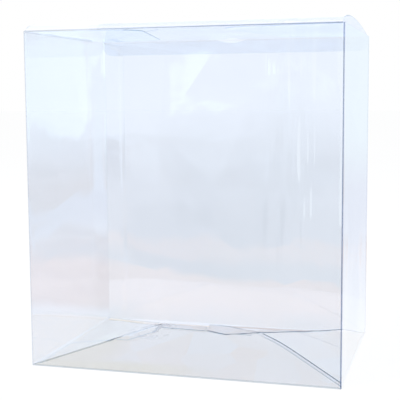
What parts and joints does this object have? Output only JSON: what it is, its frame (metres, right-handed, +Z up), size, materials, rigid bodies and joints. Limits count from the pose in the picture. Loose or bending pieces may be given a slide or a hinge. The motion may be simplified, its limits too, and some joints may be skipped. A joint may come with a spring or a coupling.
{
  "type": "figure box protector",
  "caption": "Clear film folding box with a tuck-in lid and a self-locking bottom, made to slip over a boxed figure and keep dust and knocks off.",
  "frame": {"origin": "middle of the box's footprint, on the surface that it stands on", "axes": "+X to the right along the front wall, +Y from the front wall to the back wall, +Z up"},
  "size_m": [0.22, 0.15, 0.2422],
  "materials": {
    "clear_film": "clear glossy film"
  },
  "bodies": {
    "box": {"box_body": "clear_film"},
    "lid": {"lid": "clear_film"}
  },
  "joints": [
    {"name": "lid_crease", "type": "hinge", "parent": "box", "child": "lid", "pos_m": [0, -0.0746, 0.235], "axis": [1, 0, 0], "range_deg": [0, 180]}
  ]
}
